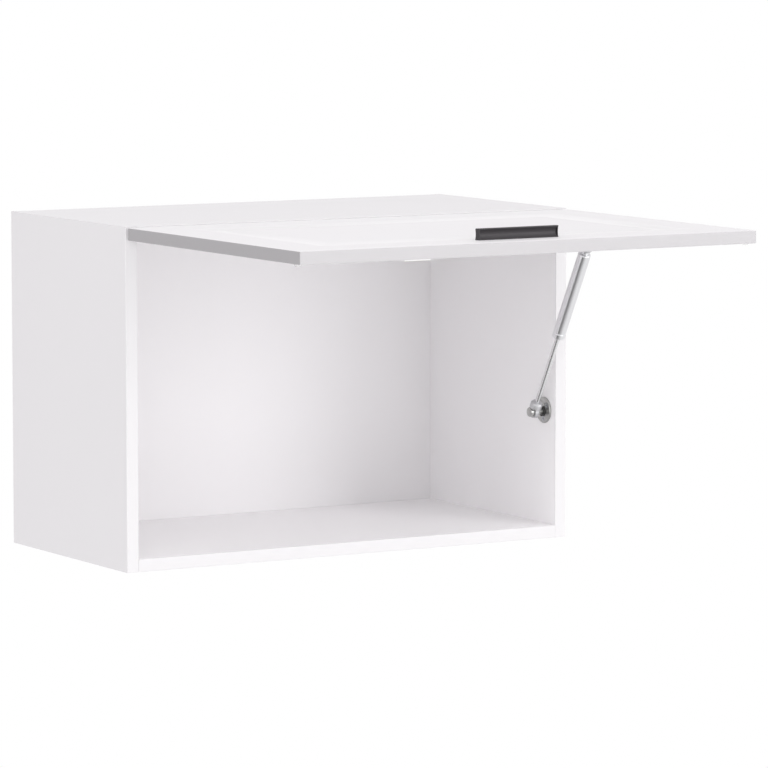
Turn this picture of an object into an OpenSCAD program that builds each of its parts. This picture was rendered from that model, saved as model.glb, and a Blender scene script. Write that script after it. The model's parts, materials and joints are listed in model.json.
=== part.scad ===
// Kitchen wall cabinet with one lift-up flap, drawn with the flap open
// Origin: centre of the back face, +X right, +Y into the wall, +Z up, millimetres

/* [Carcass] */
// Outside width of the cabinet
cab_w = 600; // [500:10:900]
// Outside height of the cabinet
cab_h = 400; // [380:10:480]
// Depth of the carcass without the flap
cab_d = 295; // [270:5:360]
// Thickness of the melamine-faced panels
panel_t = 15; // [15:0.5:18]
// Thickness of the fibreboard back panel
back_t = 3; // [3:0.5:5]
// How far the back panel runs into the rebate of each side
rebate_in = 8; // [5:0.5:9]
// Radius of the banding on the front edges
band_r = 0.8; // [0.4:0.1:1.2]
// Free play of the back panel in its rebates
back_play = 0.3; // [0.2:0.1:0.6]

/* [Back panel notches] */
// Width of each notch, from the side's inner face
notch_w = 38; // [30:1:50]
// Height of each notch, from the top panel's underside
notch_h = 68; // [66:1:90]

/* [Carcass connectors] */
// Distance of each cam from the panel's front or rear edge
cam_inset = 50; // [46:1:70]
// Distance from a panel's end to the cam's centre
cam_reach = 34; // [30:1:40]
// Diameter of the cam housing
cam_d = 15; // [12:1:15]
// Depth of the bore for the cam
cam_depth = 12.5; // [12:0.1:13]
// Diameter of the bore for the connecting bolt in a panel's end
bolt_bore_d = 8; // [7:0.5:8]
// Diameter of the bolt's thread in the side panel
bolt_thread_d = 5; // [4:0.5:6]
// Depth of the holes in the side panels
side_hole_depth = 11; // [9:0.5:12]
// Diameter of the beech dowels
dowel_d = 8; // [6:1:8]
// Length of the beech dowels
dowel_len = 30; // [25:1:35]
// Distance between a cam's bolt and its dowel
dowel_pitch = 32; // [25:1:40]

/* [Flap] */
// Thickness of the flap
door_t = 15; // [15:0.5:16]
// Gap between the flap's edges and the carcass outline
door_reveal = 1.5; // [1:0.25:2.5]
// Gap between the closed flap and the carcass
door_gap = 2.5; // [2.4:0.1:3.5]
// Radius of the flap's edges
door_edge_r = 1.5; // [1.5:0.1:2.5]
// Distance from the flap's edges to the middle of the milled cove
frame_w = 76; // [66:1:90]
// Width of the milled cove
cove_w = 16; // [8:1:22]
// Depth of the milled cove
cove_depth = 1.6; // [0.8:0.1:2]

/* [Handle] */
// Length of the pull along the flap
pull_len = 105; // [90:1:140]
// Height of the pull above the flap's face
pull_h = 13; // [11:0.2:18]
// Depth of the pull from its grip side to its back
pull_d = 7.5; // [7:0.5:10]
// Distance from the flap's free edge to the pull's grip side
pull_setback = 33; // [25:1:50]
// Depth of the finger scoop in the grip side
scoop_depth = 2; // [1.6:0.1:2.6]
// Thickness of the lip over the scoop and of the foot under it
pull_lip = 1.2; // [1:0.1:1.6]
// Thickness of the webs that close the scoop's ends
pull_end = 1.6; // [1.4:0.1:2.4]
// How far each end is drawn in at half height
pull_waist = 0.9; // [0.6:0.1:1.1]
// Distance between the two handle screws
pull_screw_pitch = 64; // [48:16:64]
// Diameter of the handle screws
pull_screw_d = 3; // [2.5:0.5:3.5]

/* [Hinges] */
// Distance from the cabinet's side to each hinge's middle
hinge_inset = 100; // [90:1:120]
// Distance of the hinge pin from the flap's inner face
pin_in = 7.5; // [7:0.1:7.5]
// Distance of the hinge pin from the flap's hinged edge
pin_down = 7; // [6.8:0.1:7]
// Diameter of the hinge pin
pin_d = 2.5; // [2:0.1:2.6]
// Diameter of the bore for the hinge cup
cup_bore_d = 35; // [35:0.5:36]
// Depth of the bore for the hinge cup
cup_bore_depth = 12.5; // [12.3:0.1:12.7]
// Web of board left between the cup's bore and the hinged edge
cup_web = 3; // [2.8:0.1:3.1]
// Wall thickness of the pressed cup
cup_wall = 0.9; // [0.8:0.05:1]
// Thickness of the cup's flange
flange_t = 1; // [0.8:0.1:1]
// Distance between the two screws of a cup
cup_screw_pitch = 48; // [45:1:52]
// Distance from the cup's middle to the line of its screws
cup_screw_off = 6; // [5.5:0.5:9.5]
// Distance from the front edge to the mounting plate's screws
plate_setback = 37; // [34:1:40]
// Distance between the two screws of a mounting plate
plate_screw_pitch = 32; // [30:1:34]
// Thickness of the mounting plate
plate_t = 2.5; // [2.3:0.1:3]
// Height of the hinge arm
arm_h = 8; // [7:0.5:10]
// Width of the hinge arm over the mounting plate
arm_w = 16; // [12:1:20]

/* [Gas strut] */
// Distance from the right side's inner face to the strut's middle
strut_in = 14.5; // [13.5:0.1:15.5]
// Distance of the lower pivot behind the carcass front
foot_back = 25; // [22:1:30]
// Height of the lower pivot above the cabinet's underside
foot_up = 152; // [146:1:153]
// Distance of the upper pivot from the hinge pin, along the flap
head_out = 85; // [82:0.5:86]
// Distance of the upper pivot from the flap's inner face
head_off = 15.5; // [14.5:0.5:18]
// Diameter of the strut's cylinder
tube_d = 15.5; // [14:0.5:16]
// Wall thickness of the strut's cylinder
tube_wall = 1; // [0.8:0.1:1.4]
// Length of the strut's cylinder
tube_len = 120; // [118.5:0.5:122]
// Length of the neck between the cylinder and the upper socket
end_neck = 4; // [3:0.5:5]
// Diameter of the piston rod
rod_d = 6; // [5:0.5:8]
// Distance from each ball's centre to the end of its socket
socket_reach = 14; // [13.5:0.5:15]
// Outer diameter of the ball sockets
socket_d = 15; // [14:0.1:15.5]
// Diameter of the joint balls
ball_d = 8; // [7.5:0.1:8.5]
// Diameter of the round foot plate
foot_plate_d = 32; // [30:1:36]
// Height of the foot plate's middle above the lower pivot
plate_rise = 1.5; // [0:0.5:2.5]
// Thickness of the round foot plate
foot_plate_t = 2.5; // [2:0.1:2.6]
// Diameter of the cap on the lower stud
stud_cap_d = 11.5; // [10:0.5:12]
// Length of the cap on the lower stud
stud_cap_len = 5; // [4:0.5:8]

/* [Wall hangers] */
// Width of a hanger body, from the side panel
hanger_w = 20; // [18:1:24]
// Depth of a hanger body, front to back
hanger_d = 46; // [40:1:55]
// Height of a hanger body
hanger_h = 57; // [52:1:60]
// Thickness of the steel hook
hook_t = 2.5; // [2:0.1:3]
// Width of the hook's mouth, open downwards
hook_mouth = 4.5; // [4:0.5:6]
// Depth of the hook's mouth
hook_depth = 12; // [8:1:16]

/* [Hidden] */
$fn = 48;

// Cut tools reach this far past the surface that they open
over = 1;
// Radial play of a shaft, peg or screw in its hole
fit = 0.05;
// Gap between faces that move past each other
run_gap = 0.3;

// Outline of the carcass
side_x = cab_w / 2;
inner_x = side_x - panel_t;
top_z = cab_h / 2;
inner_z = top_z - panel_t;
front_y = -cab_d;
panel_mid_z = top_z - panel_t / 2;
notch_z = inner_z - notch_h;

// Connectors: each joint has a cam and a dowel near the front and near the back
cam_ys = [front_y + cam_inset, -back_t - cam_inset];
dowel_ys = [cam_ys[0] + dowel_pitch, cam_ys[1] - dowel_pitch];
cam_x = inner_x - cam_reach;
cam_slot_w = 8;
bolt_collar = 2;
bolt_head_d = 6.4;
bolt_neck_d = 4;
bolt_head_len = 3;
bolt_end = cam_reach + bolt_head_len - 0.6;

// Hinge pin, the axis of the flap
pin_y = front_y - door_gap - pin_in;
pin_z = top_z - door_reveal - pin_down;
hinge_x = side_x - hinge_inset;

// The flap, open and level
door_in_z = pin_z - pin_in;
door_out_z = door_in_z + door_t;
door_back_y = pin_y + pin_down;
door_w = cab_w - 2 * door_reveal;
door_h = cab_h - 2 * door_reveal;
door_front_y = door_back_y - door_h;
cove_r = (pow(cove_w / 2, 2) + pow(cove_depth, 2)) / (2 * cove_depth);

// Handle
pull_front_y = door_front_y + pull_setback;
pull_back_y = pull_front_y + pull_d;
pull_back_r = 2;
pull_screw_y = pull_back_y - 2.3;
pull_screw_deep = 6;
pull_screw_head = [6, 1.8];
waist_half = pull_h / 2 + 0.8;
waist_r = (pow(waist_half, 2) + pow(pull_waist, 2)) / (2 * pull_waist);

// Bumpers
bumper_d = 8;
bumper_in = 14;

// Hinge cup
cup_y = door_back_y - cup_web - cup_bore_d / 2;
cup_r = cup_bore_d / 2 - fit;
cup_h = cup_bore_depth + flange_t - 0.2;
cup_screw_y = cup_y - cup_screw_off;
cup_screw_d = 3.5;
cup_screw_len = 11;
cup_screw_head = [6.4, 1.6];
cup_lip = 0.5;
cup_ear_r = 6;
lug_x = 4 + run_gap;
lug_t = 3;
lug_half = 2.6;

// Mounting plate
plate_y = front_y + plate_setback;
plate_len = 36;
plate_tail = 6;
plate_wing = [44, 14];
plate_screw_d = 4;
plate_screw_len = 12;
plate_screw_head = [7, 2];

// Hinge arm: its eye turns on the pin inside the cup
eye_r = pin_d / 2 + 1;
arm_top_z = inner_z - plate_t;
arm_bot_z = arm_top_z - arm_h;
arm_hook_w = 2 * (lug_x - run_gap);
arm_shell = 1.6;
arm_neck_y = front_y + 3;
arm_tail_y = plate_y + plate_len / 2 + plate_tail;
arm_screw_back = 14;
arm_screw_y = plate_y + arm_screw_back;
arm_screw_d = 5;
arm_screw_head = [8, 2];

// Gas strut: lower pivot on the carcass, upper pivot on the flap
strut_x = inner_x - strut_in;
foot = [front_y + foot_back, foot_up - top_z];
head = [pin_y - head_out, door_in_z - head_off];
strut_len = norm(head - foot);
strut_lean = atan2(foot[0] - head[0], head[1] - foot[1]);
tube_end = strut_len - socket_reach - end_neck;
tube_start = tube_end - tube_len;
rod_r = rod_d / 2;
tube_bore_d = tube_d - 2 * tube_wall;
guide_len = 11;
groove_at = 4;
piston_len = 6;
piston_at = tube_start + guide_len + 3;
piston_seat = 2;
eye_t = 5;
socket_grip = 6.5;
barrel_from = stud_cap_d / 2 + 0.5;
end_neck_d = 9;
end_stud_d = 5;
stud_shank_d = 5;
stud_collar_d = 8;
stud_collar_x = eye_t / 2 + run_gap;

// Foot plate on the right side
plate_at = [foot[0], foot[1] + plate_rise];
foot_screw_d = 4;
foot_screw_len = 13;
foot_screw_head_d = 7.4;
foot_sink_d = 8;
foot_sink = 2;
foot_screw_ring = 10;
foot_plate_edge = 1;

// Bracket on the flap
ear_t = 2.5;
ear_x = inner_x - 2 - ear_t;
ear_half = 7;
head_plate_w = 30;
head_plate_len = 34;
head_plate_t = 2;
head_screw_d = 3.5;
head_screw_len = 11;
head_screw_head = [7, 1.8];

// Hanger
hanger_x = inner_x - hanger_w / 2;
hanger_top_z = inner_z - run_gap;
hanger_rear = 12;
hanger_rear_y = -hanger_rear;
hanger_front_y = hanger_rear_y - hanger_d;
hanger_mid_z = hanger_top_z - hanger_h / 2;
hanger_wall = 8;
hanger_peg_in = 12;
hanger_peg_ys = [hanger_rear_y - hanger_peg_in, hanger_front_y + hanger_peg_in];
hanger_peg_d = 10;
hanger_peg_len = 10;
hanger_screw_rise = 14;
hanger_screw_zs = [hanger_mid_z + hanger_screw_rise, hanger_mid_z - hanger_screw_rise];
hanger_screw_d = 5;
hanger_screw_head = [9, 2.4];
slot_drop = 17;
slot_top_z = hanger_top_z - slot_drop;
slot_h = 26;
slot_w = hook_t + 2 * run_gap;
hook_rear_y = -1;
hook_prong = 3;
hook_bar = 6;

// Helpers

// Draws on the Y-Z plane and gives it a length along X
module along_x(len) {
    rotate([90, 0, 90]) linear_extrude(len, center = true) children();
}

// A cylinder along X from one X to another, at a place on the Y-Z plane
module x_rod(x0, x1, y, z, d) {
    translate([min(x0, x1), y, z]) rotate([0, 90, 0]) cylinder(d = d, h = abs(x1 - x0));
}

// A rectangle whose corners are true arcs
module round_rect(x0, x1, y0, y1, r) {
    translate([x0 + r, y0]) square([x1 - x0 - 2 * r, y1 - y0]);
    translate([x0, y0 + r]) square([x1 - x0, y1 - y0 - 2 * r]);
    for (x = [x0 + r, x1 - r], y = [y0 + r, y1 - r]) translate([x, y]) circle(r);
}

// Section of a panel whose banded front edge is slightly rounded
module banded_section(rear, t) {
    difference() {
        round_rect(front_y, rear + 2 * band_r, 0, t, band_r);
        translate([rear, -over]) square([2 * band_r + over, t + 2 * over]);
    }
}

// Cross recess of a screw, cut down from z = 0
module cross_recess(size, depth) {
    for (a = [0, 90]) rotate(a)
        translate([-size / 2, -size / 10, -depth]) cube([size, size / 5, depth + over]);
}

// A pan-head screw along -Z, with its head above z = 0
module pan_screw(d, len, head) {
    tip = 0.6;
    head_r = head[0] / 2;
    head_h = head[1];
    round = head_h / 2;
    difference() {
        rotate_extrude() polygon([[0, -len], [d / 2 - tip, -len], [d / 2, 2 * tip - len], [d / 2, 0],
            [head_r, 0], [head_r, head_h - round], [head_r - round, head_h], [0, head_h]]);
        translate([0, 0, head_h]) cross_recess(head_r, head_h * 0.6);
    }
}

// A countersunk screw along -Z, with its head flush with z = 0
module flat_screw(d, len, head_d) {
    tip = 0.8;
    difference() {
        rotate_extrude() polygon([[0, -len], [d / 2 - tip, -len], [d / 2, 2 * tip - len],
            [d / 2, -(head_d - d) / 2], [head_d / 2, 0], [0, 0]]);
        cross_recess(head_d * 0.6, 1.2);
    }
}

// Copies a part to the other side of the cabinet
module both_sides() {
    children();
    mirror([1, 0, 0]) children();
}

// Carcass

module side_blank() {
    difference() {
        translate([0, 0, -top_z]) linear_extrude(cab_h) difference() {
            translate([inner_x, 0]) mirror([1, -1]) banded_section(0, panel_t);
            translate([inner_x - over, -back_t]) square([rebate_in + over, back_t + over]);
        }
        for (s = [-1, 1]) {
            for (y = cam_ys)
                x_rod(inner_x - over, inner_x + side_hole_depth, y, s * panel_mid_z,
                      bolt_thread_d + 2 * fit);
            for (y = dowel_ys)
                x_rod(inner_x - over, inner_x + side_hole_depth, y, s * panel_mid_z,
                      dowel_d + 2 * fit);
        }
        for (y = hanger_peg_ys)
            x_rod(inner_x - over, inner_x + side_hole_depth, y, hanger_mid_z,
                  hanger_peg_d + 2 * fit);
    }
}

// Flat panel between the sides; its cams are bored up from below
module shelf_blank(z) {
    difference() {
        translate([0, 0, z]) along_x(2 * inner_x) banded_section(-back_t, panel_t);
        for (s = [-1, 1], y = cam_ys) {
            translate([s * cam_x, y, z - over]) cylinder(d = cam_d + 2 * fit, h = cam_depth + over);
            x_rod(s * cam_x, s * (inner_x + over), y, z + panel_t / 2, bolt_bore_d);
        }
        for (s = [-1, 1], y = dowel_ys)
            x_rod(s * (inner_x + side_hole_depth - 1 - dowel_len), s * (inner_x + over), y,
                  z + panel_t / 2, dowel_d + 2 * fit);
    }
}

module left_side() {
    color("white") mirror([1, 0, 0]) side_blank();
}

module right_side() {
    color("white") difference() {
        side_blank();
        for (p = foot_screw_spots())
            x_rod(inner_x - over, inner_x + foot_screw_len, p[0], p[1], foot_screw_d + 2 * fit);
    }
}

module top_panel() {
    color("white") difference() {
        shelf_blank(inner_z);
        for (x = plate_screw_xs())
            translate([x, plate_y, inner_z - over]) cylinder(d = plate_screw_d + 2 * fit,
                                                             h = plate_screw_len + over);
    }
}

module bottom_panel() {
    color("white") shelf_blank(-top_z);
}

// Fibreboard back with a notch at each top corner for the wall bracket
module back_panel() {
    w = inner_x + rebate_in - back_play;
    h = top_z - back_play;
    color("white") difference() {
        translate([-w, -back_t, -h]) cube([2 * w, back_t, 2 * h]);
        both_sides() translate([inner_x - notch_w, -back_t - over, notch_z])
            cube([notch_w + rebate_in + over, back_t + 2 * over, h - notch_z + over]);
    }
}

// Zinc cams with a cross slot, turned to draw the bolt heads in
module cam_locks() {
    color("silver") for (s = [-1, 1], y = cam_ys, z = [inner_z, -top_z])
        difference() {
            translate([s * cam_x, y, z]) cylinder(d = cam_d, h = cam_depth - run_gap);
            x_rod(s * (cam_x - bolt_head_len), s * (cam_x + cam_d), y, z + panel_t / 2,
                  bolt_head_d + 2 * fit);
            translate([s * cam_x, y, z]) mirror([0, 0, 1]) cross_recess(cam_slot_w, 1.6);
        }
}

// Bolts screwed into the sides; each head is held by a cam
module cam_bolts() {
    tip = 0.5 - side_hole_depth;
    collar_r = bolt_bore_d / 2 - 0.5;
    head_r = bolt_head_d / 2;
    neck_r = bolt_neck_d / 2;
    cam_wall = cam_reach - cam_d / 2;
    color("silver") for (s = [-1, 1], y = cam_ys, z = [-1, 1])
        translate([s * inner_x, y, z * panel_mid_z]) rotate([0, -s * 90, 0]) rotate_extrude()
            polygon([[0, tip], [bolt_thread_d / 2, tip], [bolt_thread_d / 2, 0], [collar_r, 0],
                [collar_r, bolt_collar], [head_r, bolt_collar + 1], [head_r, cam_wall - 1],
                [neck_r, cam_wall], [neck_r, cam_reach - 1], [head_r, cam_reach - 0.4],
                [head_r, bolt_end - 0.8], [head_r - 0.8, bolt_end], [0, bolt_end]]);
}

// Beech dowels with chamfered ends
module beech_dowels() {
    chamfer = 1;
    r = dowel_d / 2;
    color("burlywood") for (s = [-1, 1], y = dowel_ys, z = [-1, 1])
        translate([s * (inner_x + side_hole_depth - 0.5), y, z * panel_mid_z])
            rotate([0, -s * 90, 0]) rotate_extrude()
                polygon([[0, 0], [r - chamfer, 0], [r, chamfer], [r, dowel_len - chamfer],
                    [r - chamfer, dowel_len], [0, dowel_len]]);
}

// Wall hangers

// Moulded body, pegged into the side panel, with a slot for the hook
module hanger_body() {
    color("gainsboro") difference() {
        union() {
            translate([hanger_x, 0, 0]) along_x(hanger_w)
                round_rect(hanger_front_y, hanger_rear_y, hanger_top_z - hanger_h, hanger_top_z, 3);
            for (y = hanger_peg_ys)
                x_rod(inner_x - over, inner_x + hanger_peg_len, y, hanger_mid_z, hanger_peg_d);
        }
        translate([hanger_x - slot_w / 2, hanger_front_y + hanger_wall, slot_top_z - slot_h])
            cube([slot_w, hanger_d, slot_h]);
        for (z = hanger_screw_zs)
            translate([hanger_x, hanger_front_y - over, z]) rotate([-90, 0, 0])
                cylinder(d = hanger_screw_d + 2 * fit, h = hanger_wall + 2 * over);
    }
}

module hanger_body_right() hanger_body();
module hanger_body_left() mirror([1, 0, 0]) hanger_body();

// Steel hook whose mouth opens downwards behind the notch in the back
module hanger_hook() {
    top = slot_top_z - run_gap;
    front = hanger_front_y + hanger_wall + run_gap;
    foot_z = top - hook_bar - hook_depth;
    mouth_y = hook_rear_y - hook_prong - hook_mouth / 2;
    color("silver") translate([hanger_x, 0, 0]) along_x(hook_t) difference() {
        union() {
            translate([front, top - slot_h + 2 * run_gap])
                square([hanger_rear_y + over - front, slot_h - 2 * run_gap]);
            translate([hanger_rear_y, foot_z])
                square([hook_rear_y - hanger_rear_y - hook_prong, top - foot_z]);
            translate([hook_rear_y - hook_prong, top - hook_prong]) circle(hook_prong);
            translate([hook_rear_y - hook_prong, foot_z]) square([hook_prong, top - hook_prong - foot_z]);
        }
        translate([mouth_y, top - hook_bar - hook_mouth / 2]) circle(d = hook_mouth);
        translate([mouth_y - hook_mouth / 2, foot_z - over])
            square([hook_mouth, hook_depth - hook_mouth / 2 + over]);
    }
}

module hanger_hook_right() hanger_hook();
module hanger_hook_left() mirror([1, 0, 0]) hanger_hook();

// Height and depth screws of both hangers
module hanger_screws() {
    color("silver") both_sides() for (z = hanger_screw_zs)
        translate([hanger_x, hanger_front_y, z]) rotate([90, 0, 0]) pan_screw(hanger_screw_d, hanger_wall,
                                                                         hanger_screw_head);
}

// Hinges

function plate_screw_xs() = [for (s = [-1, 1], k = [-1, 1]) s * hinge_x + k * plate_screw_pitch / 2];

// Cross-shaped steel plate under the top panel
module hinge_plate() {
    color("silver") difference() {
        translate([hinge_x, plate_y, inner_z - plate_t]) linear_extrude(plate_t) {
            round_rect(-plate_wing[0] / 2, plate_wing[0] / 2, -plate_wing[1] / 2, plate_wing[1] / 2, 3);
            round_rect(-arm_w / 2, arm_w / 2, -plate_len / 2, plate_len / 2 + plate_tail, 2);
        }
        for (k = [-1, 1])
            translate([hinge_x + k * plate_screw_pitch / 2, plate_y, inner_z - plate_t - over])
                cylinder(d = plate_screw_d + 0.4, h = plate_t + 2 * over);
        translate([hinge_x, arm_screw_y, inner_z - plate_t - over])
            cylinder(d = arm_screw_d + 2 * fit, h = plate_t + 2 * over);
    }
}

module hinge_plate_right() hinge_plate();
module hinge_plate_left() mirror([1, 0, 0]) hinge_plate();

module hinge_plate_screws() {
    color("silver") for (x = plate_screw_xs())
        translate([x, plate_y, inner_z - plate_t]) mirror([0, 0, 1])
            pan_screw(plate_screw_d, plate_screw_len - 1, plate_screw_head);
}

// Hollow arm, open towards the plate, whose hook reaches the pin in the cup
module hinge_arm() {
    hook_r = 2;
    hook_y = pin_y - eye_r;
    hollow = [arm_neck_y + 10, arm_screw_y - 10];
    color("silver") difference() {
        translate([hinge_x, 0, 0]) {
            along_x(arm_hook_w) {
                translate([pin_y, pin_z]) circle(eye_r);
                translate([hook_y, arm_bot_z + hook_r])
                    square([2 * eye_r, pin_z - arm_bot_z - hook_r]);
                translate([hook_y + hook_r, arm_bot_z])
                    square([arm_neck_y + arm_h - hook_y - hook_r, arm_h]);
                translate([hook_y + hook_r, arm_bot_z + hook_r]) circle(hook_r);
            }
            along_x(arm_w) round_rect(arm_neck_y, arm_tail_y, arm_bot_z, arm_top_z, 1);
        }
        translate([hinge_x - arm_w / 2 + arm_shell, hollow[0], arm_bot_z + arm_shell])
            cube([arm_w - 2 * arm_shell, hollow[1] - hollow[0], arm_h]);
        x_rod(hinge_x - arm_hook_w, hinge_x + arm_hook_w, pin_y, pin_z, pin_d + 2 * fit);
        translate([hinge_x, arm_screw_y, arm_bot_z - over])
            cylinder(d = arm_screw_d + 2 * fit, h = arm_h + 2 * over);
    }
}

module hinge_arm_right() hinge_arm();
module hinge_arm_left() mirror([1, 0, 0]) hinge_arm();

// Clamp screws that hold the arms on their plates
module hinge_arm_screws() {
    color("silver") both_sides()
        translate([hinge_x, arm_screw_y, arm_bot_z]) mirror([0, 0, 1])
            pan_screw(arm_screw_d, arm_h + plate_t - run_gap, arm_screw_head);
}

// Flap

// Milled cove along one edge of a frame, mitred at both ends
module cove_run(len) {
    half = len / 2;
    out = cove_w;
    intersection() {
        x_rod(-half - out, half + out, 0, cove_r - cove_depth, 2 * cove_r);
        translate([0, 0, -cove_depth - over]) linear_extrude(cove_depth + 2 * over)
            polygon([[-half - out, -out], [half + out, -out], [half - out, out], [-half + out, out]]);
    }
}

module flap_door() {
    r = door_edge_r;
    w = door_w / 2;
    mid_y = (door_front_y + door_back_y) / 2;
    run_x = door_w - 2 * frame_w;
    run_y = door_h - 2 * frame_w;
    color("white") difference() {
        intersection() {
            along_x(door_w + 2 * over) round_rect(door_front_y, door_back_y, door_in_z, door_out_z, r);
            translate([0, door_back_y + over, 0]) rotate([90, 0, 0]) linear_extrude(door_h + 2 * over)
                round_rect(-w, w, door_in_z, door_out_z, r);
            translate([0, 0, door_in_z - over]) linear_extrude(door_t + 2 * over)
                round_rect(-w, w, door_front_y, door_back_y, r);
        }
        translate([0, mid_y, door_out_z]) for (s = [-1, 1]) {
            translate([0, s * run_y / 2, 0]) mirror([0, max(s, 0), 0]) cove_run(run_x);
            translate([s * run_x / 2, 0, 0]) rotate(s * 90) cove_run(run_y);
        }
        both_sides() {
            translate([hinge_x, cup_y, door_in_z - over])
                cylinder(d = cup_bore_d, h = cup_bore_depth + over);
            for (k = [-1, 1])
                translate([hinge_x + k * cup_screw_pitch / 2, cup_screw_y, door_in_z - over])
                    cylinder(d = cup_screw_d + 2 * fit, h = cup_screw_len + over);
        }
        for (s = [-1, 1])
            translate([s * pull_screw_pitch / 2, pull_screw_y, door_in_z - over])
                cylinder(d = pull_screw_d + 0.4, h = door_t + 2 * over);
        for (p = head_screw_spots())
            translate([p[0], p[1], door_in_z - over])
                cylinder(d = head_screw_d + 2 * fit, h = head_screw_len + over);
    }
}

// Finger pull: a bar with a scooped grip side and drawn-in ends
module handle() {
    z0 = door_out_z;
    mid_z = z0 + pull_h / 2;
    half = pull_len / 2;
    scoop_half = pull_h / 2 - pull_lip;
    scoop_r = (pow(scoop_half, 2) + pow(scoop_depth, 2)) / (2 * scoop_depth);
    color("dimgray") difference() {
        along_x(pull_len) {
            translate([pull_front_y, z0]) square([pull_d, pull_h - pull_back_r]);
            translate([pull_front_y, z0]) square([pull_d - pull_back_r, pull_h]);
            translate([pull_back_y - pull_back_r, z0 + pull_h - pull_back_r]) circle(pull_back_r);
        }
        x_rod(pull_end - half, half - pull_end, pull_front_y + scoop_depth - scoop_r, mid_z, 2 * scoop_r);
        both_sides() translate([half - pull_waist + waist_r, pull_front_y - over, mid_z])
            rotate([-90, 0, 0]) cylinder(r = waist_r, h = pull_d + 2 * over);
        for (s = [-1, 1])
            translate([s * pull_screw_pitch / 2, pull_screw_y, z0 - over])
                cylinder(d = pull_screw_d + 2 * fit, h = pull_screw_deep + over);
    }
}

module handle_screws() {
    color("silver") for (s = [-1, 1])
        translate([s * pull_screw_pitch / 2, pull_screw_y, door_in_z]) mirror([0, 0, 1])
            pan_screw(pull_screw_d, door_t + pull_screw_deep - 1, pull_screw_head);
}

// Soft dots on the flap's inner face, which meet the edges of the side panels
module door_bumpers() {
    h = door_gap - run_gap;
    r = bumper_d / 2;
    color("whitesmoke") both_sides()
        translate([side_x - panel_t / 2, door_front_y + bumper_in, door_in_z - h])
            rotate_extrude() polygon([[0, 0], [r - 1, 0], [r, 0.8], [r, h], [0, h]]);
}

// Die-cast cup with its flange, let into the flap; two lugs inside hold the pin
module hinge_cup() {
    flange_r = min(cup_bore_d / 2 + cup_lip, cup_bore_d / 2 + cup_web - 0.2);
    ear_half = cup_screw_pitch / 2 + cup_ear_r;
    floor_z = door_in_z - flange_t + cup_h;
    color("silver") difference() {
        translate([hinge_x, cup_y, door_in_z - flange_t]) {
            difference() {
                union() {
                    cylinder(r = cup_r, h = cup_h);
                    linear_extrude(flange_t) circle(flange_r);
                }
                translate([0, 0, -over]) cylinder(r = cup_r - cup_wall, h = cup_h - cup_wall + over);
            }
            linear_extrude(flange_t) difference() {
                round_rect(-ear_half, ear_half, -cup_screw_off - cup_ear_r, cup_ear_r - cup_screw_off, 4);
                circle(cup_r - cup_wall / 2);
            }
        }
        for (k = [-1, 1])
            translate([hinge_x + k * cup_screw_pitch / 2, cup_screw_y, door_in_z - flange_t - over])
                cylinder(d = cup_screw_d + 0.4, h = flange_t + 2 * over);
    }
    color("silver") difference() {
        intersection() {
            translate([hinge_x, cup_y, pin_z - lug_half])
                cylinder(r = cup_r - cup_wall / 2, h = floor_z - cup_wall / 2 - pin_z + lug_half);
            for (x = [hinge_x - lug_x - lug_t, hinge_x + lug_x])
                translate([x, pin_y - lug_half, pin_z - lug_half]) cube([lug_t, cup_r, cup_h]);
        }
        x_rod(hinge_x - lug_x - lug_t - over, hinge_x + lug_x + lug_t + over, pin_y, pin_z,
              pin_d + 2 * fit);
    }
}

module hinge_cup_right() hinge_cup();
module hinge_cup_left() mirror([1, 0, 0]) hinge_cup();

// Pins that carry the flap, held by the cups
module hinge_pins() {
    color("silver") both_sides()
        x_rod(hinge_x - lug_x - lug_t, hinge_x + lug_x + lug_t, pin_y, pin_z, pin_d);
}

module hinge_cup_screws() {
    color("silver") both_sides() for (k = [-1, 1])
        translate([hinge_x + k * cup_screw_pitch / 2, cup_screw_y, door_in_z - flange_t])
            mirror([0, 0, 1]) pan_screw(cup_screw_d, cup_screw_len - run_gap, cup_screw_head);
}

// Gas strut

// Places of the three foot plate screws, on the Y-Z plane
function foot_screw_spots() = [for (a = [145, 265, 25])
    [plate_at[0] + foot_screw_ring * cos(a), plate_at[1] + foot_screw_ring * sin(a)]];

// Round steel plate on the right side, where the strut stands
module strut_foot_plate() {
    color("silver") difference() {
        translate([inner_x - foot_plate_t, plate_at[0], plate_at[1]]) rotate([0, 90, 0]) rotate_extrude()
            polygon([[0, 0], [foot_plate_d / 2 - foot_plate_edge, 0],
                [foot_plate_d / 2, foot_plate_edge], [foot_plate_d / 2, foot_plate_t],
                [0, foot_plate_t]]);
        for (p = foot_screw_spots())
            translate([inner_x - foot_plate_t, p[0], p[1]]) rotate([0, 90, 0]) {
                cylinder(d1 = foot_sink_d, d2 = foot_screw_d, h = foot_sink);
                translate([0, 0, -over]) cylinder(d = foot_sink_d, h = over);
                cylinder(d = foot_screw_d + 2 * fit, h = foot_plate_t + over);
            }
    }
}

module strut_foot_screws() {
    color("silver") for (p = foot_screw_spots())
        translate([inner_x - foot_plate_t + 0.2, p[0], p[1]]) rotate([0, -90, 0])
            flat_screw(foot_screw_d, foot_screw_len, foot_screw_head_d);
}

// Places along the strut: s from the lower pivot towards the upper one
module on_strut(s) {
    translate([strut_x, foot[0], foot[1]]) rotate([strut_lean, 0, 0]) translate([0, 0, s]) children();
}

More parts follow.
